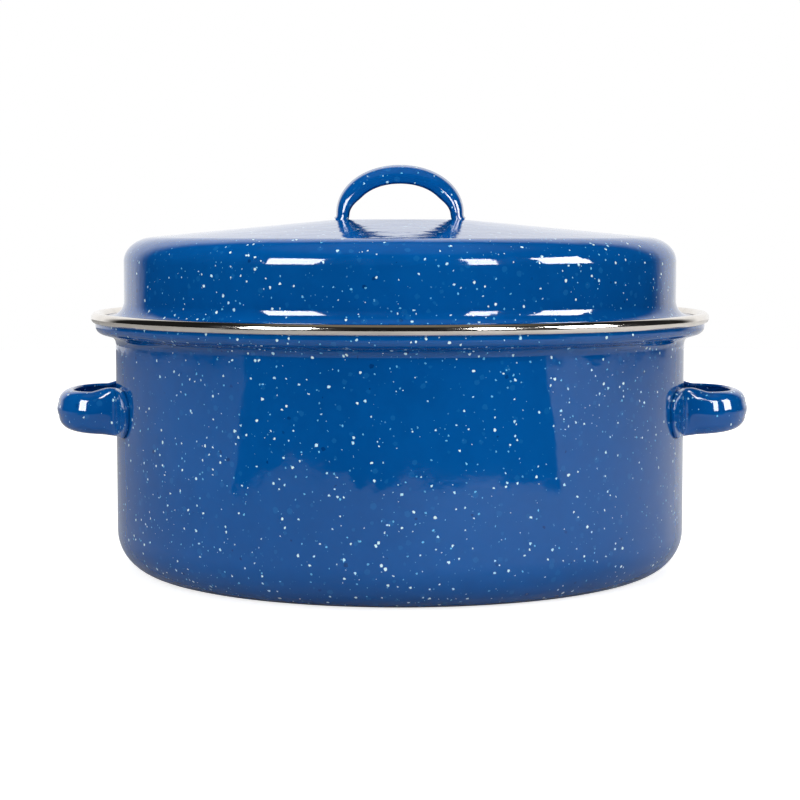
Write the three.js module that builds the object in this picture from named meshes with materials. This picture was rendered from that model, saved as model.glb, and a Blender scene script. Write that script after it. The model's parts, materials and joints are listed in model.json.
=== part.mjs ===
// A water bath canner: a low, wide enamelled steel pot with a stepped rim, a domed lid, strap handles
// and, inside, a wire jar rack with two folding lift handles.
// Millimetres, +Z up. The origin is the middle of the pot's underside. The side handles lie on the X axis.
import * as THREE from 'three';

// ---- driving dimensions ----
const WALL_RADIUS = 160;            // outside of the pot's straight wall
const BEAD_HEIGHT = 142.4;          // centre of the steel rim band above the underside
const STEEL = 1.2;                  // thickness of the enamelled steel sheet
const GAP = 0.3;                    // clearance between pieces that touch
const AROUND = 48;                  // segments round the pot, the lid and the rings

const BASE_FILLET = 23.2;           // outside radius between the pot's base and wall
const WALL_TOP = BEAD_HEIGHT - 16;  // where the wall turns out into the rim step
const CHANNEL_RADIUS = 171.2;       // outside of the upright channel above the step
const LIP_RADIUS = 170.6;           // middle of the sheet at the lip
const LIP_TOP = BEAD_HEIGHT + 1.6;
const BAND_RADIUS = 170.6;          // circle that the rim band's section is centred on
const BAND_OUTER = 3.07;            // outside radius of the band's section
const BAND_SHEET = 0.5;             // thickness of the stainless sheet
const BAND_SLOT = 24;               // half angle of the band's open underside, degrees

const LID_RADIUS = 155.2;           // outside of the lid's wall
const LID_WALL_TOP = BEAD_HEIGHT + 30.9;
const SHOULDER_RUN = 17.3;          // radial half axis of the lid's shoulder
const SHOULDER_RISE = 13.7;         // vertical half axis of the lid's shoulder
const LID_SLOPE = 5.33;             // slope of the lid's top, degrees
const CROWN_RADIUS = 36.2;          // flat middle of the lid under its handle
const FLANGE_RADIUS = 165.8;        // outer edge of the lid's flange
const SKIRT_BOTTOM = BEAD_HEIGHT - 8.1;

const LID_HANDLE = {
  halfWidth: 36,
  height: 30.4,
  legThickness: 6.5,
  topThickness: 8.5,
  width: 27,
  foot: 2.2,
};
const SIDE_HANDLE = {
  reach: 36.6,                      // from the wall to the outside of the grip
  halfWidth: 40,
  thickness: 3.2,
  footThickness: 2.4,
  top: BEAD_HEIGHT - 38,
  height: 26,
  cornerRadius: 25,
  rootRadius: 6,
  footEnd: 25,                      // degrees from the handle's middle to the end of a foot
};

const WIRE = 4;                     // ring and rib wire of the jar rack
const THIN_WIRE = 3.2;              // divider and handle wire of the jar rack
const RACK_FLOOR = STEEL + GAP;
const BASE_RING = 112;              // ring radii, to the middle of the wire
const CENTRE_RING = 30;
const TOP_RING = 128;
const TOP_RING_HEIGHT = 62;
const JAR_PLACES = 6;               // jars round the middle one
const DIVIDER = { inner: 83, outer: 103, bend: 7 };
const EYE = { radius: 3, wire: 2.2, y: 54 };
const LIFT_HANDLE = { halfWidth: 46, reach: 58, bend: 12, pinEnd: 58 };

// ---- materials ----
const enamel = new THREE.MeshStandardMaterial({ color: 0x0b5aa6, roughness: 0.12, metalness: 0 });
const stainless = new THREE.MeshStandardMaterial({ color: 0xc9cbcd, roughness: 0.15, metalness: 1 });
const chromeWire = new THREE.MeshStandardMaterial({ color: 0xd4d6d8, roughness: 0.2, metalness: 1 });

const group = new THREE.Group();

function addMesh(name, geometry, material) {
  const mesh = new THREE.Mesh(geometry, material);
  mesh.name = name;
  group.add(mesh);
  return mesh;
}

function radians(degrees) {
  return degrees * Math.PI / 180;
}

// Points on an ellipse about (x, y) from one angle to another, in degrees, both ends included.
function arc(x, y, radiusX, radiusY, from, to, steps) {
  const points = [];
  for (let i = 0; i <= steps; i += 1) {
    const angle = radians(from + (to - from) * i / steps);
    points.push(new THREE.Vector2(x + radiusX * Math.cos(angle), y + radiusY * Math.sin(angle)));
  }
  return points;
}

function normalBetween(a, b) {
  return new THREE.Vector2(a.y - b.y, b.x - a.x).normalize();
}

// The outline moved sideways by a distance, to the left of its direction, with mitred corners.
// An end on the axis moves along the axis only.
function offsetOutline(points, distance) {
  return points.map((point, i) => {
    const before = i > 0 ? normalBetween(points[i - 1], point) : null;
    const after = i < points.length - 1 ? normalBetween(point, points[i + 1]) : null;
    const normal = (before ?? after).clone().add(after ?? before).normalize();
    const mitre = distance / normal.dot(before ?? after);
    const moved = point.clone().addScaledVector(normal, mitre);
    if (point.x === 0) moved.x = 0;
    return moved;
  });
}

// A profile of (radius, height) points turned round the Z axis.
function turned(profile) {
  const geometry = new THREE.LatheGeometry(profile, AROUND);
  geometry.rotateX(Math.PI / 2);
  return geometry;
}

// ---- pot ----
// The outside of the sheet, from the middle of the base up to the lip.
function potOutline() {
  const fromBead = (radius, drop) => new THREE.Vector2(radius, BEAD_HEIGHT - drop);
  return [
    new THREE.Vector2(0, 0),
    ...arc(WALL_RADIUS - BASE_FILLET, BASE_FILLET, BASE_FILLET, BASE_FILLET, -90, 0, 6),
    new THREE.Vector2(WALL_RADIUS, WALL_TOP),
    fromBead(160.6, 12.6),
    fromBead(162.4, 10.6),
    fromBead(167.2, 9.2),
    fromBead(169.9, 7.2),
    fromBead(CHANNEL_RADIUS, 4.6),
    new THREE.Vector2(LIP_RADIUS + STEEL / 2, LIP_TOP),
  ];
}

function potBody() {
  const outside = potOutline();
  const inside = offsetOutline(outside, STEEL);
  return turned([...outside, ...inside.reverse()]);
}

// The stainless trim rolled over the lip: a split tube that is open underneath.
function rimBand() {
  const from = BAND_SLOT - 90;
  const to = 270 - BAND_SLOT;
  const inner = BAND_OUTER - BAND_SHEET;
  const outside = arc(BAND_RADIUS, BEAD_HEIGHT, BAND_OUTER, BAND_OUTER, from, to, 9);
  const inside = arc(BAND_RADIUS, BEAD_HEIGHT, inner, inner, to, from, 9);
  return turned([...outside, ...inside, outside[0].clone()]);
}

// ---- lid ----
// The outside of the sheet, from the turned-down edge of the flange up to the middle of the dome.
function lidOutline() {
  const shoulderX = LID_RADIUS - SHOULDER_RUN;
  const shoulderZ = LID_WALL_TOP;
  const slope = Math.tan(radians(LID_SLOPE));
  const lastAngle = Math.atan2(SHOULDER_RISE, SHOULDER_RUN * slope) * 180 / Math.PI;
  const shoulder = arc(shoulderX, shoulderZ, SHOULDER_RUN, SHOULDER_RISE, 0, lastAngle, 6);
  const shoulderEnd = shoulder[shoulder.length - 1];
  const crownHeight = shoulderEnd.y + (shoulderEnd.x - CROWN_RADIUS) * slope;
  return [
    new THREE.Vector2(FLANGE_RADIUS, SKIRT_BOTTOM),
    new THREE.Vector2(FLANGE_RADIUS, BEAD_HEIGHT - 1.5),
    new THREE.Vector2(FLANGE_RADIUS - 1.4, BEAD_HEIGHT + 0.2),
    ...arc(LID_RADIUS + 8.4, BEAD_HEIGHT + 9.2, 8.4, 8.4, -95, -180, 5),
    ...shoulder,
    new THREE.Vector2(CROWN_RADIUS, crownHeight),
    new THREE.Vector2(0, crownHeight),
  ];
}

function lidShell() {
  const outside = lidOutline();
  const inside = offsetOutline(outside, STEEL);
  return turned([...outside, ...inside.reverse(), outside[0].clone()]);
}

const LID_TOP = Math.max(...lidOutline().map((point) => point.y));

// An arched strap standing on two small feet, in the XZ plane, extruded across Y.
function lidHandle() {
  const { halfWidth, height, legThickness, topThickness, width, foot } = LID_HANDLE;
  const bevel = 0.9;
  const outside = arc(0, 0, halfWidth, height, 0, 180, 16);
  const inside = arc(0, 0, halfWidth - legThickness, height - topThickness, 180, 0, 16);
  const outline = [
    new THREE.Vector2(halfWidth + foot, 0),
    ...outside.slice(1, -1),
    new THREE.Vector2(-halfWidth - foot, 0),
    ...inside,
  ];
  const geometry = new THREE.ExtrudeGeometry(new THREE.Shape(outline), {
    depth: width - 2 * bevel, bevelThickness: bevel, bevelSize: bevel, bevelOffset: -bevel, bevelSegments: 1,
  });
  geometry.translate(0, 0, bevel - width / 2);
  geometry.rotateX(Math.PI / 2);
  geometry.translate(0, 0, LID_TOP + GAP);
  return geometry;
}

// ---- side handles ----
// The strap seen from above: a D standing out from the wall, with a foot lying on the wall at each end.
function sideHandle() {
  const { reach, halfWidth, thickness, footThickness } = SIDE_HANDLE;
  const { top, height, cornerRadius, rootRadius, footEnd } = SIDE_HANDLE;
  const bevel = 0.8;
  const seat = WALL_RADIUS + GAP;
  const footOuter = seat + footThickness;
  const frontX = WALL_RADIUS + reach;
  const rootY = halfWidth + rootRadius;
  const rootX = Math.sqrt((footOuter + rootRadius) ** 2 - rootY ** 2);
  const rootAngle = Math.atan2(rootY, rootX) * 180 / Math.PI;
  const outerHalf = [
    ...arc(0, 0, footOuter, footOuter, footEnd, rootAngle, 3),
    ...arc(rootX, rootY, rootRadius, rootRadius, 180 + rootAngle + 20, 270, 3),
    ...arc(frontX - cornerRadius, halfWidth - cornerRadius, cornerRadius, cornerRadius, 90, 8, 6),
  ];
  const inHalf = halfWidth - thickness;
  const inCorner = cornerRadius - thickness;
  const wallY = inHalf + 1;
  const innerHalf = [
    ...arc(frontX - cornerRadius, halfWidth - cornerRadius, inCorner, inCorner, 8, 90, 6),
    new THREE.Vector2(Math.sqrt(seat ** 2 - inHalf ** 2) + 2, inHalf),
    new THREE.Vector2(Math.sqrt(seat ** 2 - wallY ** 2), wallY),
    ...arc(0, 0, seat, seat, Math.asin(wallY / seat) * 180 / Math.PI + 3, footEnd, 3),
  ];
  const mirrored = (points) => points.map((point) => new THREE.Vector2(point.x, -point.y)).reverse();
  const outline = [...outerHalf, ...mirrored(outerHalf), ...mirrored(innerHalf), ...innerHalf];
  const geometry = new THREE.ExtrudeGeometry(new THREE.Shape(outline), {
    depth: height - 2 * bevel, bevelThickness: bevel, bevelSize: bevel, bevelOffset: -bevel, bevelSegments: 1,
  });
  geometry.translate(0, 0, top - height + bevel);
  return geometry;
}

// ---- jar rack ----
// A route that visits its points one by one, so that an extrusion has one step for each leg of a bent wire.
class BentWire extends THREE.Curve {
  constructor(points) {
    super();
    this.points = points;
  }

  getPointAt(u) {
    return this.points[Math.round(u * (this.points.length - 1))].clone();
  }

  getTangentAt(u) {
    const last = this.points.length - 1;
    const i = Math.round(u * last);
    const before = this.points[Math.max(i - 1, 0)];
    const after = this.points[Math.min(i + 1, last)];
    const incoming = this.points[i].clone().sub(before).normalize();
    const outgoing = after.clone().sub(this.points[i]).normalize();
    return incoming.add(outgoing).normalize();
  }
}

function wire(points, diameter) {
  const sides = 6;
  const section = new THREE.Shape(arc(0, 0, diameter / 2, diameter / 2, 0, 300, sides - 1));
  return new THREE.ExtrudeGeometry(section, { steps: points.length - 1, extrudePath: new BentWire(points) });
}

// The corner points of a bent wire, each inner corner rounded to a bend radius.
function bentRoute(corners, radius) {
  const points = [corners[0]];
  for (let i = 1; i < corners.length - 1; i += 1) {
    const start = corners[i].clone().add(corners[i - 1].clone().sub(corners[i]).setLength(radius));
    const end = corners[i].clone().add(corners[i + 1].clone().sub(corners[i]).setLength(radius));
    const bend = new THREE.QuadraticBezierCurve3(start, corners[i], end);
    points.push(...bend.getPoints(3));
  }
  points.push(corners[corners.length - 1]);
  return points;
}

function ring(radius, height, diameter) {
  const geometry = new THREE.TorusGeometry(radius, diameter / 2, 6, AROUND);
  geometry.translate(0, 0, height);
  return geometry;
}

// A wire bent in the upright plane through the rack's middle, from (radius, height) corners.
function radialWire(corners, diameter, bend) {
  const route = corners.map(([radius, height]) => new THREE.Vector3(radius, 0, height));
  return wire(bentRoute(route, bend), diameter);
}

const ringHeight = RACK_FLOOR + WIRE / 2;
const ribHeight = ringHeight + WIRE + GAP;
const dividerHeight = ringHeight + (WIRE + THIN_WIRE) / 2 + GAP;
const ribRadius = TOP_RING - WIRE - GAP;
const pivotX = Math.sqrt(TOP_RING ** 2 - EYE.y ** 2);
const pivotHeight = TOP_RING_HEIGHT + WIRE / 2 + GAP + EYE.radius + EYE.wire / 2;
const dividerTop = pivotHeight - THIN_WIRE - GAP;  // the folded lift handles lie on the dividers

// Up from the middle of the floor, out to the side, and up to the top ring.
const ribCorners = [
  [CENTRE_RING - 3, ribHeight],
  [ribRadius, ribHeight],
  [ribRadius, TOP_RING_HEIGHT + WIRE / 2],
];

// Out along the floor, up and over between two jars, and down again on to the base ring.
const dividerCorners = [
  [CENTRE_RING - 3, dividerHeight],
  [DIVIDER.inner, dividerHeight],
  [DIVIDER.inner, dividerTop],
  [DIVIDER.outer, dividerTop],
  [DIVIDER.outer, dividerHeight],
  [BASE_RING + 3, dividerHeight],
];

// A lift handle folded inwards, for the +X side: out-turned pins in the eyes, two legs and a grip.
function liftHandle() {
  const { halfWidth, reach, bend, pinEnd } = LIFT_HANDLE;
  const halfPlan = [
    [pivotX, pinEnd],
    [pivotX, halfWidth + 3],
    [pivotX - 4, halfWidth],
    [pivotX - reach, halfWidth],
  ];
  const corners = [...halfPlan, ...halfPlan.map(([x, y]) => [x, -y]).reverse()];
  const route = corners.map(([x, y]) => new THREE.Vector3(x, y, pivotHeight));
  const gripBends = bentRoute(route.slice(2, 6), bend);
  return wire([route[0], route[1], ...gripBends, route[6], route[7]], THIN_WIRE);
}

// A small closed eye standing on the top ring, for one pin of a lift handle.
function eye(x, y) {
  const geometry = new THREE.TorusGeometry(EYE.radius, EYE.wire / 2, 6, 14);
  geometry.rotateX(Math.PI / 2);
  geometry.translate(x, y, pivotHeight);
  return geometry;
}

// ---- assembly ----
addMesh('pot_body', potBody(), enamel);
addMesh('pot_rim_band', rimBand(), stainless);
addMesh('lid_shell', lidShell(), enamel);
addMesh('lid_handle', lidHandle(), enamel);

addMesh('rack_base_ring', ring(BASE_RING, ringHeight, WIRE), chromeWire);
addMesh('rack_centre_ring', ring(CENTRE_RING, ringHeight, WIRE), chromeWire);
addMesh('rack_top_ring', ring(TOP_RING, TOP_RING_HEIGHT, WIRE), chromeWire);
for (let place = 0; place < JAR_PLACES; place += 1) {
  const turn = place * 2 * Math.PI / JAR_PLACES;
  const rib = addMesh(`rack_rib_${place + 1}`, radialWire(ribCorners, WIRE, 10), chromeWire);
  rib.rotation.z = turn;
  const dividerWire = radialWire(dividerCorners, THIN_WIRE, DIVIDER.bend);
  const divider = addMesh(`rack_divider_${place + 1}`, dividerWire, chromeWire);
  divider.rotation.z = turn + Math.PI / JAR_PLACES;
}

for (const [side, turn] of [['right', 0], ['left', Math.PI]]) {
  const handle = addMesh(`side_handle_${side}`, sideHandle(), enamel);
  handle.rotation.z = turn;
  const lift = addMesh(`rack_handle_${side}`, liftHandle(), chromeWire);
  lift.rotation.z = turn;
  const sign = side === 'right' ? 1 : -1;
  addMesh(`rack_eye_${side}_front`, eye(sign * pivotX, -EYE.y), chromeWire);
  addMesh(`rack_eye_${side}_back`, eye(sign * pivotX, EYE.y), chromeWire);
}

export default group;
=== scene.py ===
"""The looks of the enamelled water bath canner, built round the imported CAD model.

Pressed steel pieces are turned or swept here as fine meshes in the place of their CAD nodes, and the
wire rack's nodes are rounded. Lengths in the profiles are millimetres, and meshes are metres.
"""
import json
import math

import bmesh
import bpy
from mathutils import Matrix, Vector


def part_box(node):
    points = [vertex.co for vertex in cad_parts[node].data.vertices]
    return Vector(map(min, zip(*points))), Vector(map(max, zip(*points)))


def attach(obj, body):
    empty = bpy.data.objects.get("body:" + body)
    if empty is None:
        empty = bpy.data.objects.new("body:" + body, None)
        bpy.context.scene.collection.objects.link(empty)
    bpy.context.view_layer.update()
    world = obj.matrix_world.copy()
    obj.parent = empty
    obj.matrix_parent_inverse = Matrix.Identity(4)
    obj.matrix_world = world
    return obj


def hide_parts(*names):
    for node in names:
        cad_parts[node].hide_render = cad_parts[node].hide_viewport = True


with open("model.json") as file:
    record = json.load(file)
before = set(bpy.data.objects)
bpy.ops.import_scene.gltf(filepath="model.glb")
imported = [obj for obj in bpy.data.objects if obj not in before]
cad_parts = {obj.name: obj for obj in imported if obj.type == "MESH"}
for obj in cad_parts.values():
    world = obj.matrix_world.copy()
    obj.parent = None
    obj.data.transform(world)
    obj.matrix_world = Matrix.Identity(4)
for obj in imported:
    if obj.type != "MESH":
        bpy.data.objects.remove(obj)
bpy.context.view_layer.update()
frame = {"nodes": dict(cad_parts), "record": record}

MM = 0.001
_, pot_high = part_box("pot_body")
_, band_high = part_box("pot_rim_band")
lid_low, lid_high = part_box("lid_shell")
arch_low, arch_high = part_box("lid_handle")
_, grip_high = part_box("side_handle_right")

SHEET = 1.2                                     # enamelled steel sheet
BAND_SECTION = 3.07                             # radius of the rolled rim band's section
BAND_SHEET = 0.5                                # thickness of the stainless sheet
BAND_SLOT = 24                                  # half angle of the band's open underside, degrees
BEAD_Z = band_high.z / MM - BAND_SECTION        # height of the rim band's centre
BAND_RADIUS = band_high.x / MM - BAND_SECTION
CHANNEL_RADIUS = pot_high.x / MM                # outside of the upright part of the pot's rim
LIP_TOP = pot_high.z / MM
WALL_RADIUS = 160.0
BASE_FILLET = 23.2
LEDGE_INNER_Z = BEAD_Z - 11.1                   # the rim step, where it leaves the wall
LEDGE_OUTER_Z = BEAD_Z - 7.9
RIM_BEND = 4.5                                  # radius of the two bends at the step
LID_RADIUS = 155.2
LID_WALL_TOP = BEAD_Z + 30.9
LID_FLOOR = BEAD_Z + 0.8                        # where the lid's flange leaves the cove
SHOULDER_RUN, SHOULDER_RISE = 17.3, 13.7        # half axes of the lid's rounded shoulder
LID_SLOPE = 5.33                                # degrees
LID_COVE = 8.4                                  # radius between the lid's wall and its flange
FLANGE_RADIUS = lid_high.x / MM
SKIRT_BOTTOM = lid_low.z / MM
LID_TOP = lid_high.z / MM
CROWN_RADIUS = 36.2                             # flat middle of the lid, under its handle
CROWN_BEND = 60.0                               # radius of the bend at the edge of that flat
STRAP_SHEET = 1.6                               # the enamelled strap of all three handles
STRAP_CROWN = 0.9                               # how far the strap's middle bulges outwards
AROUND = 288                                    # steps round the pot and the lid


# ---------------------------------------------------------------- meshes
def finish_mesh(mesh, smooth_angle=35):
    work = bmesh.new()
    work.from_mesh(mesh)
    bmesh.ops.recalc_face_normals(work, faces=work.faces)
    for edge in work.edges:
        edge.smooth = len(edge.link_faces) != 2 or edge.calc_face_angle(0) < math.radians(smooth_angle)
    for face in work.faces:
        face.smooth = True
    work.to_mesh(mesh)
    work.free()


def new_object(name, vertices, faces):
    mesh = bpy.data.meshes.new(name)
    mesh.from_pydata([tuple(v) for v in vertices], [], faces)
    finish_mesh(mesh)
    obj = bpy.data.objects.new(name, mesh)
    bpy.context.scene.collection.objects.link(obj)
    return obj


def arc(x, y, radius_x, radius_y, start, end, steps):
    """Points on an ellipse from one angle to another, in degrees."""
    points = []
    for i in range(steps + 1):
        angle = math.radians(start + (end - start) * i / steps)
        points.append(Vector((x + radius_x * math.cos(angle), y + radius_y * math.sin(angle))))
    return points


def rounded(corners, steps=10):
    """An outline through (x, y, radius) corners, each rounded to its radius."""
    points = []
    for i, (x, y, radius) in enumerate(corners):
        here = Vector((x, y))
        if radius == 0:
            points.append(here)
            continue
        back = (Vector(corners[i - 1][:2]) - here).normalized()
        ahead = (Vector(corners[i + 1][:2]) - here).normalized()
        half = back.angle(ahead) / 2
        reach = radius / math.tan(half)
        centre = here + (back + ahead).normalized() * radius / math.sin(half)
        first = here + back * reach - centre
        last = here + ahead * reach - centre
        turn = first.angle_signed(last)
        for k in range(steps + 1):
            angle = -turn * k / steps
            points.append(centre + Vector((
                first.x * math.cos(angle) - first.y * math.sin(angle),
                first.x * math.sin(angle) + first.y * math.cos(angle),
            )))
    return points


def offset(points, distance):
    """The outline moved to the left of its direction, with mitred corners. The axis stays in place."""
    moved = []
    for i, point in enumerate(points):
        normals = []
        for a, b in ((i - 1, i), (i, i + 1)):
            if a >= 0 and b < len(points):
                along = (points[b] - points[a]).normalized()
                normals.append(Vector((-along.y, along.x)))
        mean = sum(normals, Vector((0, 0))).normalized()
        place = point + mean * distance / max(mean.dot(normals[0]), 0.3)
        if point.x < 1e-6:
            place.x = 0
        moved.append(place)
    return moved


def supported(points, longest=4.0, support=0.35):
    """The outline with extra points on its long straight stretches, so that shading stays flat there."""
    result = [points[0]]
    for a, b in zip(points, points[1:]):
        length = (b - a).length
        if length > longest:
            count = math.ceil((length - 2 * support) / (3 * longest))
            for k in range(count + 1):
                result.append(a.lerp(b, (support + (length - 2 * support) * k / count) / length))
        result.append(b)
    return result


def lathe(name, profile, closed, gap=0.0):
    """Turns a profile of (radius, height) in mm round Z. A gap in degrees leaves a slit at the back."""
    profile = supported(profile)
    full = gap == 0
    columns = AROUND if full else AROUND + 1
    vertices = []
    rows = []
    for point in profile:
        if point.x < 1e-6:
            rows.append([len(vertices)] * columns)
            vertices.append((0, 0, point.y * MM))
            continue
        row = []
        for k in range(columns):
            angle = math.pi / 2 + math.radians(gap) / 2 + (2 * math.pi - math.radians(gap)) * k / AROUND
            row.append(len(vertices))
            vertices.append((point.x * MM * math.cos(angle), point.x * MM * math.sin(angle), point.y * MM))
        rows.append(row)
    faces = []
    pairs = list(zip(rows, rows[1:]))
    if closed:
        pairs.append((rows[-1], rows[0]))
    for lower, upper in pairs:
        for k in range(AROUND):
            after = (k + 1) % columns
            corners = [lower[k], lower[after], upper[after], upper[k]]
            unique = list(dict.fromkeys(corners))
            if len(unique) > 2:
                faces.append(unique)
    if not full:
        faces.append([row[0] for row in rows])
        faces.append([row[-1] for row in reversed(rows)])
    return new_object(name, vertices, faces)


def smoothstep(low, high, value):
    t = min(max((value - low) / (high - low), 0.0), 1.0)
    return t * t * (3 - 2 * t)


# ---------------------------------------------------------------- pot and lid
def make_pot():
    outside = rounded([
        (0, 0, 0),
        (WALL_RADIUS, 0, BASE_FILLET),
        (WALL_RADIUS, LEDGE_INNER_Z, RIM_BEND),
        (CHANNEL_RADIUS, LEDGE_OUTER_Z, RIM_BEND),
        (CHANNEL_RADIUS, LIP_TOP, 0),
    ], steps=14)
    return lathe("pot_shell", outside + offset(outside, SHEET)[::-1], closed=False)


def make_band():
    inner = BAND_SECTION - BAND_SHEET
    start, end = BAND_SLOT - 90, 270 - BAND_SLOT
    outside = arc(BAND_RADIUS, BEAD_Z, BAND_SECTION, BAND_SECTION, start, end, 40)
    inside = arc(BAND_RADIUS, BEAD_Z, inner, inner, end, start, 30)
    return lathe("rim_band", outside + inside, closed=True, gap=0.12)


def lid_outline():
    last = math.degrees(math.atan2(SHOULDER_RISE, SHOULDER_RUN * math.tan(math.radians(LID_SLOPE))))
    shoulder = arc(LID_RADIUS - SHOULDER_RUN, LID_WALL_TOP, SHOULDER_RUN, SHOULDER_RISE, 0, last, 20)
    crown = rounded([
        (shoulder[-1].x, shoulder[-1].y, 0),
        (CROWN_RADIUS, LID_TOP, CROWN_BEND),
        (0, LID_TOP, 0),
    ])
    cove_x = LID_RADIUS + LID_COVE
    return [
        *rounded([
            (FLANGE_RADIUS - SHEET / 2, SKIRT_BOTTOM, 0),
            (FLANGE_RADIUS, SKIRT_BOTTOM, 0.5),
            (FLANGE_RADIUS, LID_FLOOR - 0.25, 1.7),
            (cove_x, LID_FLOOR, 0),
        ], steps=6),
        *arc(cove_x, LID_FLOOR + LID_COVE, LID_COVE, LID_COVE, -92, -180, 14),
        *shoulder,
        *crown[1:],
    ]


def make_lid():
    outside = lid_outline()
    inside = offset(outside[2:], SHEET)
    return lathe("lid_dome", outside + inside[::-1], closed=True)


# ---------------------------------------------------------------- straps
def strap_section(width, lip, corner, crown):
    """A crowned channel: (across, depth) points, depth measured inwards from the outer face."""
    sheet = STRAP_SHEET
    half = width / 2
    corner = min(corner, half * 0.95)
    lip = max(lip, corner)
    outer = [Vector((-half, lip))]
    for k in range(9):
        angle = math.pi + math.pi / 2 * k / 8
        outer.append(Vector((-half + corner + corner * math.cos(angle), corner + corner * math.sin(angle))))
    outer.append(Vector(((-half + corner) * 0.5, -crown * 0.75)))
    outer.append(Vector((0, -crown)))
    outer += [Vector((-p.x, p.y)) for p in outer[-2::-1]]
    inner = [Vector((p.x * (1 - sheet / half), p.y + sheet * (1 - p.y / lip))) for p in outer]
    rim_left = Vector(((outer[0].x + inner[0].x) / 2, lip + sheet * 0.35))
    rim_right = Vector((-rim_left.x, rim_left.y))
    return [rim_left, *outer, rim_right, *inner[::-1]]


def sweep(name, stations):
    """Joins the sections of a strap. A station is (place, outward, across, section)."""
    vertices = []
    count = len(stations[0][3])
    for place, outward, across, section in stations:
        for p in section:
            vertices.append((place + across * p.x - outward * p.y) * MM)
    faces = []
    for i in range(len(stations) - 1):
        for k in range(count):
            after = (k + 1) % count
            faces.append([i * count + k, i * count + after, (i + 1) * count + after, (i + 1) * count + k])
    faces.append(list(range(count)))
    last = (len(stations) - 1) * count
    faces.append([last + k for k in reversed(range(count))])
    return new_object(name, vertices, faces)


def evenly(points, step):
    """The same open line with points a step apart."""
    lengths = [0.0]
    for a, b in zip(points, points[1:]):
        lengths.append(lengths[-1] + (b - a).length)
    total = lengths[-1]
    count = max(int(total / step), 2)
    result = []
    i = 0
    for k in range(count + 1):
        target = total * k / count
        while i < len(points) - 2 and lengths[i + 1] < target:
            i += 1
        share = (target - lengths[i]) / (lengths[i + 1] - lengths[i])
        result.append(points[i].lerp(points[i + 1], min(share, 1.0)))
    return result, total


def superellipse(centre, reach, half, power, steps):
    """Half of a rounded-off rectangle, from +half round to -half, bulging along +x."""
    points = []
    for i in range(steps + 1):
        angle = math.pi / 2 - math.pi * i / steps
        x = abs(math.cos(angle)) ** (2 / power)
        y = math.copysign(abs(math.sin(angle)) ** (2 / power), math.sin(angle))
        points.append(Vector((centre + reach * x, half * y)))
    return points


def normals_of(points):
    """The unit normals to the left of an open line's direction."""
    result = []
    for i in range(len(points)):
        along = (points[min(i + 1, len(points) - 1)] - points[max(i - 1, 0)]).normalized()
        result.append(Vector((-along.y, along.x)))
    return result


SIDE_HALF = 40.0            # half the width of a side handle's loop
SIDE_TOP = BEAD_Z - 38.2
SIDE_BOTTOM = BEAD_Z - 64.7
FOOT_ANGLE = 24.5           # degrees from the loop's middle to the end of a foot
ROOT_RADIUS = 4.5           # bend between the loop and a foot
LOOP_START = 168.0          # where the legs begin to bow, from the pot's axis
BENT_IN = {"right": 0.0, "left": 2.6}      # how much less a loop stands out than its CAD node


def side_handle_line(side):
    """The outer face seen from above, as an open line, and the distance along it to the crease."""
    face = WALL_RADIUS + 0.35 + STRAP_SHEET
    root_y = SIDE_HALF + ROOT_RADIUS
    root_x = math.sqrt((face + ROOT_RADIUS) ** 2 - root_y ** 2)
    root_angle = math.degrees(math.atan2(root_y, root_x))
    half_line = [
        *arc(0, 0, face, face, FOOT_ANGLE, root_angle, 10),
        *arc(root_x, root_y, ROOT_RADIUS, ROOT_RADIUS, 180 + root_angle, 270, 8)[1:],
    ]
    reach = grip_high.x / MM - STRAP_CROWN - BENT_IN[side] - LOOP_START
    bow = superellipse(LOOP_START, reach, SIDE_HALF, 2.35, 80)
    crease = math.radians(FOOT_ANGLE - root_angle) * face + 5
    return half_line + bow + [Vector((p.x, -p.y)) for p in reversed(half_line)], crease


def make_side_handle(side):
    line, crease = side_handle_line(side)
    line, total = evenly(line, 1.2)
    stations = []
    for i, (point, outward) in enumerate(zip(line, normals_of(line))):
        along = total * i / (len(line) - 1)
        near = min(along, total - along)
        loop = smoothstep(crease - 3.5, crease + 6, near)
        top_z = SIDE_TOP - 2.7 * smoothstep(crease, crease + 13, near)
        bottom_z = SIDE_BOTTOM + 2.4 * min(max((near - crease) / 45, 0), 1)
        foot_end = min(near / 14.0, 1.0)
        height = (top_z - bottom_z) * math.sqrt(max(1 - (1 - foot_end) ** 2 * 0.9, 0.05))
        section = strap_section(height, 1.4 + 6.2 * loop, 1.2 + 5.6 * loop, STRAP_CROWN * (0.2 + 0.8 * loop))
        place = Vector((point.x, point.y, (top_z + bottom_z) / 2))
        stations.append((place, Vector((outward.x, outward.y, 0)), Vector((0, 0, 1)), section))
    obj = sweep(f"strap_handle_{side}", stations)
    if side == "left":
        for vertex in obj.data.vertices:
            vertex.co.x = -vertex.co.x
        obj.data.flip_normals()
    return obj


ARCH_HALF = 35.2            # half the lid handle's width, to its outer face
ARCH_FLARE = 1.3            # how far its feet spread
ARCH_UPRIGHT = 3.0          # height of the feet below the bow
ARCH_WIDTH = 28.5


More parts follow.
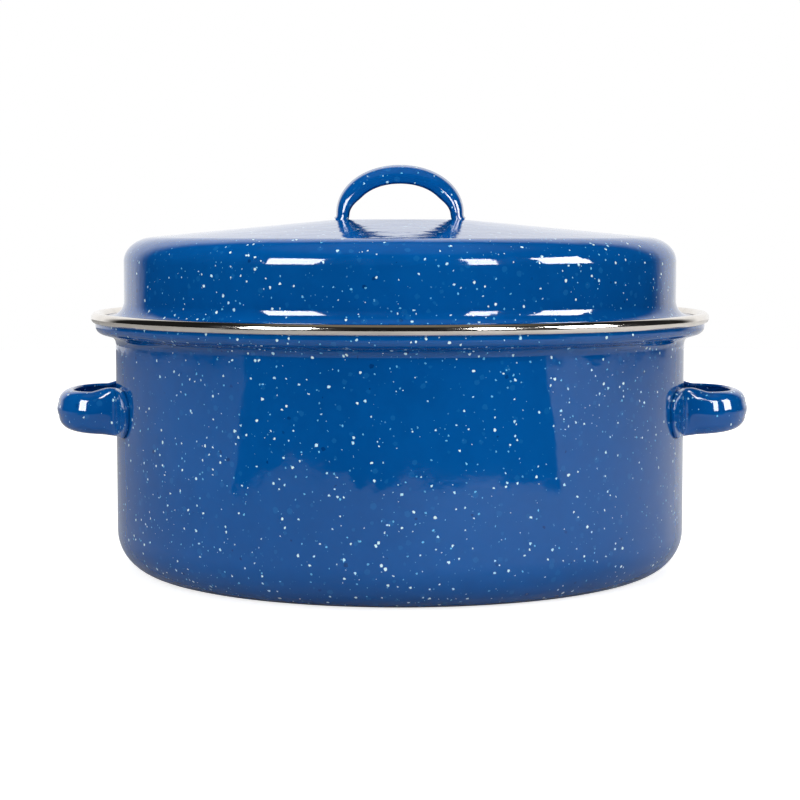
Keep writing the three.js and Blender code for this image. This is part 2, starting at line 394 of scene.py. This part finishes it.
def make_lid_handle():
    foot_z = arch_low.z / MM + 0.1
    bow_z = foot_z + ARCH_UPRIGHT
    top_z = arch_high.z / MM - STRAP_CROWN
    bow = [Vector((p.y, p.x)) for p in superellipse(bow_z, top_z - bow_z, ARCH_HALF, 2.06, 90)]
    flare = []
    for k in range(4):
        spread = ARCH_FLARE * (1 - k / 4) ** 2.5
        flare.append(Vector((ARCH_HALF + spread, foot_z + ARCH_UPRIGHT * k / 5)))
    line = flare + bow + [Vector((-p.x, p.y)) for p in reversed(flare)]
    line, total = evenly(line, 0.8)
    stations = []
    for i, (point, outward) in enumerate(zip(line, normals_of(line))):
        along = total * i / (len(line) - 1)
        near = min(along, total - along)
        width = ARCH_WIDTH - 1.8 * smoothstep(0, total / 2, near)
        lip = 5.6 + 3.3 * smoothstep(0, 22, near)
        section = strap_section(width, lip, lip * 0.92, STRAP_CROWN)
        place = Vector((point.x, 0, point.y))
        stations.append((place, -Vector((outward.x, 0, outward.y)), Vector((0, 1, 0)), section))
    return sweep("arch_handle", stations)


# ---------------------------------------------------------------- rack wires
def make_wire(node, fatten):
    """The node's own mesh with its six-sided wire rounded, at its real thickness."""
    mesh = frame["nodes"][node].data.copy()
    mesh.materials.clear()
    work = bmesh.new()
    work.from_mesh(mesh)
    bmesh.ops.remove_doubles(work, verts=work.verts, dist=2e-5)
    bmesh.ops.recalc_face_normals(work, faces=work.faces)
    bmesh.ops.join_triangles(work, faces=work.faces, angle_face_threshold=math.radians(12),
                             angle_shape_threshold=math.radians(60))
    work.to_mesh(mesh)
    work.free()
    obj = bpy.data.objects.new(f"wire_{node}", mesh)
    bpy.context.scene.collection.objects.link(obj)
    rounding = obj.modifiers.new("round", "SUBSURF")
    rounding.levels = rounding.render_levels = 2
    swelling = obj.modifiers.new("swell", "DISPLACE")
    swelling.strength = fatten
    swelling.mid_level = 0
    for polygon in mesh.polygons:
        polygon.use_smooth = True
    return obj


# ---------------------------------------------------------------- materials
class Nodes:
    """A short way to write a node tree."""

    def __init__(self, tree):
        self.tree = tree

    def add(self, kind, values=None, **settings):
        node = self.tree.nodes.new(kind)
        for key, value in settings.items():
            setattr(node, key, value)
        for key, value in (values or {}).items():
            if isinstance(value, bpy.types.NodeSocket):
                self.tree.links.new(value, node.inputs[key])
            else:
                node.inputs[key].default_value = value
        return node

    def math(self, operation, a, b=0.0, clamp=False):
        return self.add("ShaderNodeMath", {0: a, 1: b}, operation=operation, use_clamp=clamp).outputs[0]

    def vector_math(self, operation, a, b):
        return self.add("ShaderNodeVectorMath", {0: a, 1: b}, operation=operation).outputs[0]

    def ramp(self, value, low, high, to_low=0.0, to_high=1.0):
        node = self.add("ShaderNodeMapRange", {"Value": value, "From Min": low, "From Max": high,
                        "To Min": to_low, "To Max": to_high}, interpolation_type="SMOOTHSTEP")
        return node.outputs["Result"]

    def noise(self, vector, scale, detail=2.0, roughness=0.5):
        return self.add("ShaderNodeTexNoise", {"Vector": vector, "Scale": scale, "Detail": detail,
                        "Roughness": roughness})

    def mix(self, factor, a, b):
        node = self.add("ShaderNodeMix", data_type="RGBA")
        for index, value in ((0, factor), (6, a), (7, b)):
            if isinstance(value, bpy.types.NodeSocket):
                self.tree.links.new(value, node.inputs[index])
            else:
                node.inputs[index].default_value = value
        return node.outputs[2]


def new_material(name):
    material = bpy.data.materials.new(name)
    material.use_nodes = True
    tree = material.node_tree
    tree.nodes.clear()
    nodes = Nodes(tree)
    shader = nodes.add("ShaderNodeBsdfPrincipled")
    output = nodes.add("ShaderNodeOutputMaterial")
    tree.links.new(shader.outputs[0], output.inputs[0])
    return material, nodes, shader


def speck_layer(nodes, vector, cell, radius, share, shift):
    """Spots of about one radius (mm), one in each cell (mm) that a draw keeps. The share can be a socket."""
    moved = nodes.vector_math("ADD", vector, (shift, shift * 0.7, -shift))
    spots = nodes.add("ShaderNodeTexVoronoi", {"Vector": moved, "Scale": 1000 / cell, "Randomness": 1.0})
    draw = nodes.add("ShaderNodeSeparateColor", {0: spots.outputs["Color"]})
    size = nodes.ramp(draw.outputs[1], 0, 1, 0.5 * radius / cell, 1.5 * radius / cell)
    edge = nodes.math("SUBTRACT", size, spots.outputs["Distance"])
    spot = nodes.ramp(edge, -0.08 * radius / cell, 0.10 * radius / cell)
    kept = nodes.math("LESS_THAN", draw.outputs[0], share)
    strength = nodes.ramp(draw.outputs[2], 0, 0.7, 0.68, 1.0)
    return nodes.math("MULTIPLY", nodes.math("MULTIPLY", spot, kept), strength)


def enamel_material():
    material, nodes, shader = new_material("blue_speckled_enamel")
    place = nodes.add("ShaderNodeTexCoord").outputs["Object"]
    wobble = nodes.noise(place, 900, 1.0)
    small = nodes.vector_math("SUBTRACT", wobble.outputs["Color"], (0.5, 0.5, 0.5))
    scaled = nodes.add("ShaderNodeVectorMath", {0: small, "Scale": 0.0012}, operation="SCALE")
    uneven = nodes.vector_math("ADD", place, scaled.outputs[0])
    vector = nodes.add("ShaderNodeMapping", {"Vector": uneven, "Rotation": (0.55, 0.75, 0.35)}).outputs[0]
    crowd = nodes.noise(place, 24, 2.0).outputs["Fac"]
    bright = speck_layer(nodes, vector, 4.2, 0.53, nodes.ramp(crowd, 0.35, 0.65, 0.50, 0.95), 0.013)
    medium = speck_layer(nodes, vector, 3.6, 0.38, nodes.ramp(crowd, 0.35, 0.65, 0.35, 0.80), 0.041)
    fine = speck_layer(nodes, vector, 2.8, 0.28, 0.50, 0.077)
    sunk = speck_layer(nodes, vector, 5.0, 1.10, 0.45, 0.123)
    pits = speck_layer(nodes, vector, 9.0, 0.80, 0.60, 0.201)

    drift = nodes.noise(place, 9, 3.0).outputs["Fac"]
    mottle = nodes.noise(place, 140, 2.0).outputs["Fac"]
    tone = nodes.math("ADD", nodes.math("MULTIPLY", drift, 0.75), nodes.math("MULTIPLY", mottle, 0.25))
    blue = nodes.mix(nodes.ramp(tone, 0.35, 0.65), (0.0002, 0.077, 0.300, 1), (0.0004, 0.094, 0.355, 1))
    blue = nodes.mix(nodes.math("MULTIPLY", sunk, 0.30), blue, (0.016, 0.19, 0.50, 1))
    blue = nodes.mix(nodes.math("MULTIPLY", pits, 0.55), blue, (0.0, 0.018, 0.10, 1))
    blue = nodes.mix(nodes.math("MULTIPLY", fine, 0.55), blue, (0.10, 0.40, 0.72, 1))
    blue = nodes.mix(nodes.math("MULTIPLY", medium, 0.80), blue, (0.17, 0.66, 1.0, 1))
    blue = nodes.mix(nodes.math("MULTIPLY", bright, 1.5, True), blue, (0.09, 0.60, 1.0, 1))
    blue = nodes.mix(nodes.math("POWER", bright, 1.4), blue, (0.74, 0.97, 1.0, 1))
    material.node_tree.links.new(blue, shader.inputs["Base Color"])

    gloss = nodes.ramp(nodes.noise(place, 60, 3.0).outputs["Fac"], 0.3, 0.7, 0.035, 0.075)
    gloss = nodes.math("ADD", gloss, nodes.math("MULTIPLY", bright, 0.10))
    material.node_tree.links.new(gloss, shader.inputs["Roughness"])
    shader.inputs["IOR"].default_value = 1.5

    tall = nodes.add("ShaderNodeMapping", {"Vector": place, "Scale": (62, 62, 34)}).outputs[0]
    waves = nodes.math("MULTIPLY", nodes.noise(tall, 1.0, 2.0).outputs["Fac"], 0.00021)
    peel = nodes.math("MULTIPLY", nodes.noise(place, 250, 2.0).outputs["Fac"], 0.000024)
    raised = nodes.math("MULTIPLY", nodes.math("ADD", bright, medium), 0.000012)
    height = nodes.math("ADD", nodes.math("ADD", waves, peel), raised)
    bump = nodes.add("ShaderNodeBump", {"Height": height, "Distance": 1.0, "Strength": 1.0})
    material.node_tree.links.new(bump.outputs[0], shader.inputs["Normal"])
    return material


def steel_material(name, colour, roughness, scratch_stretch):
    """Bright metal with fine drawing lines round or along the piece and faint smudges."""
    material, nodes, shader = new_material(name)
    place = nodes.add("ShaderNodeTexCoord").outputs["Object"]
    lines = nodes.add("ShaderNodeMapping", {"Vector": place, "Scale": scratch_stretch})
    scratch = nodes.noise(lines.outputs[0], 1.0, 4.0, 0.6).outputs["Fac"]
    smudge = nodes.noise(place, 45, 3.0).outputs["Fac"]
    tint = nodes.mix(nodes.ramp(smudge, 0.35, 0.7), (*colour, 1), (*[c * 0.88 for c in colour], 1))
    material.node_tree.links.new(tint, shader.inputs["Base Color"])
    rough = nodes.ramp(smudge, 0.3, 0.75, roughness, roughness * 1.9)
    rough = nodes.math("ADD", rough, nodes.ramp(scratch, 0.55, 0.8, 0.0, 0.08))
    material.node_tree.links.new(rough, shader.inputs["Roughness"])
    shader.inputs["Metallic"].default_value = 1.0
    waves = nodes.math("MULTIPLY", nodes.noise(place, 120, 1.0).outputs["Fac"], 0.00002)
    height = nodes.math("ADD", nodes.math("MULTIPLY", scratch, 0.000004), waves)
    bump = nodes.add("ShaderNodeBump", {"Height": height, "Distance": 1.0, "Strength": 1.0})
    material.node_tree.links.new(bump.outputs[0], shader.inputs["Normal"])
    return material


# ---------------------------------------------------------------- the object
def fit(obj, body, slot, material, *nodes):
    obj.data.materials.append(material)
    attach(obj, body)
    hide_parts(*nodes)


enamel = enamel_material()
stainless = steel_material("polished_stainless", (0.82, 0.77, 0.71), 0.07, (90, 90, 4200))
plated = steel_material("chrome_plated_wire", (0.82, 0.83, 0.84), 0.10, (400, 400, 400))

fit(make_pot(), "pot", "blue_enamel", enamel, "pot_body")
fit(make_band(), "pot", "stainless_band", stainless, "pot_rim_band")
fit(make_side_handle("right"), "pot", "blue_enamel", enamel, "side_handle_right")
fit(make_side_handle("left"), "pot", "blue_enamel", enamel, "side_handle_left")
fit(make_lid(), "lid", "blue_enamel", enamel, "lid_shell")
fit(make_lid_handle(), "lid", "blue_enamel", enamel, "lid_handle")

FATTEN_THIN, FATTEN_THICK = 0.00016, 0.0002     # metres; makes up for what the rounding takes off a wire

for body, names in frame["record"]["behaviour"]["bodies"].items():
    for name in names:
        if name.startswith("rack_"):
            thin = "eye" in name or "handle" in name or "divider" in name
            fit(make_wire(name, FATTEN_THIN if thin else FATTEN_THICK), body, "rack_wire", plated, name)


# ---------------------------------------------------------------- stage, light and camera
# The floor is a grey table whose colour is painted lighter on the right: painted light, as if a lamp lit that
# side more. A glow that only the camera's own rays see makes it white.
FLOOR_RADIUS = 2.15         # metres
FLOOR_GLOW = 0.80
# Its cut-back front edge, uneven like the table edge that the real glaze mirrors: degrees from the
# camera's side, and radius in metres.
FRONT_EDGE = ((-60, 0.61), (-53, 0.61), (-49, 0.72), (-42, 0.80), (-37, 0.86), (-32, 0.80), (-20, 0.73),
              (-8, 0.69), (4, 0.73), (16, 0.68), (30, 0.71), (44, 0.66), (57, 0.62))


def make_floor():
    material, nodes, shader = new_material("floor_white")
    place = nodes.add("ShaderNodeTexCoord").outputs["Object"]
    across = nodes.add("ShaderNodeSeparateXYZ", {0: place}).outputs[0]
    # painted light: the floor's colour grows lighter towards +x, the right, with a little random grain on top
    tone = nodes.ramp(across, -0.5, 0.5)
    grain = nodes.math("MULTIPLY", nodes.noise(place, 3, 2.0).outputs["Fac"], 0.1)
    colour = nodes.mix(nodes.math("ADD", tone, grain, True), (0.34, 0.34, 0.34, 1), (0.70, 0.70, 0.70, 1))
    material.node_tree.links.new(colour, shader.inputs["Base Color"])
    shader.inputs["Roughness"].default_value = 0.7
    shader.inputs["Specular IOR Level"].default_value = 0.0
    shader.inputs["Emission Color"].default_value = (1, 1, 1, 1)
    seen = nodes.add("ShaderNodeLightPath").outputs["Is Camera Ray"]
    material.node_tree.links.new(nodes.math("MULTIPLY", seen, FLOOR_GLOW), shader.inputs["Emission Strength"])
    edge = list(FRONT_EDGE)
    for azimuth in range(FRONT_EDGE[-1][0], FRONT_EDGE[0][0] + 361, 3):
        edge.append((azimuth, FLOOR_RADIUS))
    outline = []
    for azimuth, radius in edge:
        angle = math.radians(azimuth)
        outline.append((radius * math.sin(angle), -radius * math.cos(angle), 0))
    floor = new_object("floor", outline, [list(range(len(outline)))])
    floor.data.materials.append(material)


def make_world():
    """A dark studio, a white wall behind the table and a dim ceiling. Only camera rays see plain white."""
    world = bpy.data.worlds.new("studio")
    bpy.context.scene.world = world
    world.use_nodes = True
    tree = world.node_tree
    tree.nodes.clear()
    nodes = Nodes(tree)
    direction = nodes.add("ShaderNodeSeparateXYZ", {0: nodes.add("ShaderNodeTexCoord").outputs["Generated"]})
    seen = nodes.add("ShaderNodeLightPath").outputs["Is Camera Ray"]
    wall = nodes.ramp(direction.outputs[1], 0.58, 0.80, 0.012, 1.0)
    ceiling = nodes.ramp(direction.outputs[2], 0.80, 0.96)
    dim = nodes.mix(nodes.math("MAXIMUM", wall, seen), (0.0, 0.0, 0.0, 1), (1, 1, 1, 1))
    colour = nodes.mix(nodes.math("SUBTRACT", ceiling, seen, True), dim, (0.21, 0.185, 0.14, 1))
    background = nodes.add("ShaderNodeBackground", {"Color": colour})
    output = nodes.add("ShaderNodeOutputWorld")
    tree.links.new(background.outputs[0], output.inputs[0])


def aim(obj, place, target):
    obj.location = place
    obj.rotation_euler = (Vector(target) - Vector(place)).to_track_quat("-Z", "Y").to_euler()


def make_area(name, place, target, width, height, radiance, glossy, diffuse):
    light = bpy.data.lights.new(name, "AREA")
    light.shape = "RECTANGLE"
    light.size = width
    light.size_y = height
    light.energy = radiance * math.pi * width * height
    obj = bpy.data.objects.new(name, light)
    bpy.context.scene.collection.objects.link(obj)
    obj.visible_glossy = glossy
    obj.visible_diffuse = diffuse
    obj.visible_camera = False
    aim(obj, place, target)


# Panels that only glossy rays see, by degrees from the camera's side.
PANELS = (("panel_left", -55, -33), ("panel_right", 27, 38), ("panel_side", 58, 81))
PANEL_DISTANCE = 2.4
PANEL_ELEVATION = 19.5
PANEL_HALF_HEIGHT = 13      # degrees
PANEL_RADIANCE = 22
# Soft lights that glossy rays don't see: name, place, target height, width, height and radiance.
SOFT_LIGHTS = (
    ("soft_front", (-0.7, -2.3, 1.1), 0.1, 1.8, 1.4, 4.9),
    ("soft_right", (2.0, -1.2, 1.2), 0.1, 1.4, 1.4, 3.9),
    ("soft_left", (-2.1, 0.2, 1.2), 0.1, 1.4, 1.4, 2.75),
    ("soft_back", (0.6, 2.3, 1.3), 0.1, 1.6, 1.4, 3.2),
    ("soft_top", (0, 0, 2.4), 0, 2.2, 2.2, 2.0),
)


def make_lights():
    lid_middle = Vector((0, 0, BEAD_Z * MM + 0.03))
    elevation = math.radians(PANEL_ELEVATION)
    height = 2 * PANEL_DISTANCE * math.tan(math.radians(PANEL_HALF_HEIGHT))
    for name, azimuth_from, azimuth_to in PANELS:
        azimuth = math.radians((azimuth_from + azimuth_to) / 2)
        away = Vector((math.sin(azimuth) * math.cos(elevation), -math.cos(azimuth) * math.cos(elevation),
                       math.sin(elevation)))
        width = 2 * PANEL_DISTANCE * math.tan(math.radians(azimuth_to - azimuth_from) / 2)
        place = lid_middle + away * PANEL_DISTANCE
        make_area(name, place, lid_middle, width, height, PANEL_RADIANCE, glossy=True, diffuse=False)
    for name, place, target_z, width, height, radiance in SOFT_LIGHTS:
        make_area(name, place, (0, 0, target_z), width, height, radiance, glossy=False, diffuse=True)


CAMERA_BACK = 1.194         # metres in front of the pot's axis
CAMERA_ABOVE_BAND = 0.051
CAMERA_PITCH = 4.744        # degrees down
CAMERA_LENS = 94.7


def make_camera():
    data = bpy.data.cameras.new("camera")
    data.sensor_width = 36
    data.lens = CAMERA_LENS
    data.clip_end = 50
    camera = bpy.data.objects.new("camera", data)
    bpy.context.scene.collection.objects.link(camera)
    camera.location = (0, -CAMERA_BACK, BEAD_Z * MM + CAMERA_ABOVE_BAND)
    camera.rotation_euler = (math.radians(90 - CAMERA_PITCH), 0, 0)
    bpy.context.scene.camera = camera


make_floor()
make_world()
make_lights()
make_camera()
bpy.context.scene.view_settings.view_transform = "Standard"
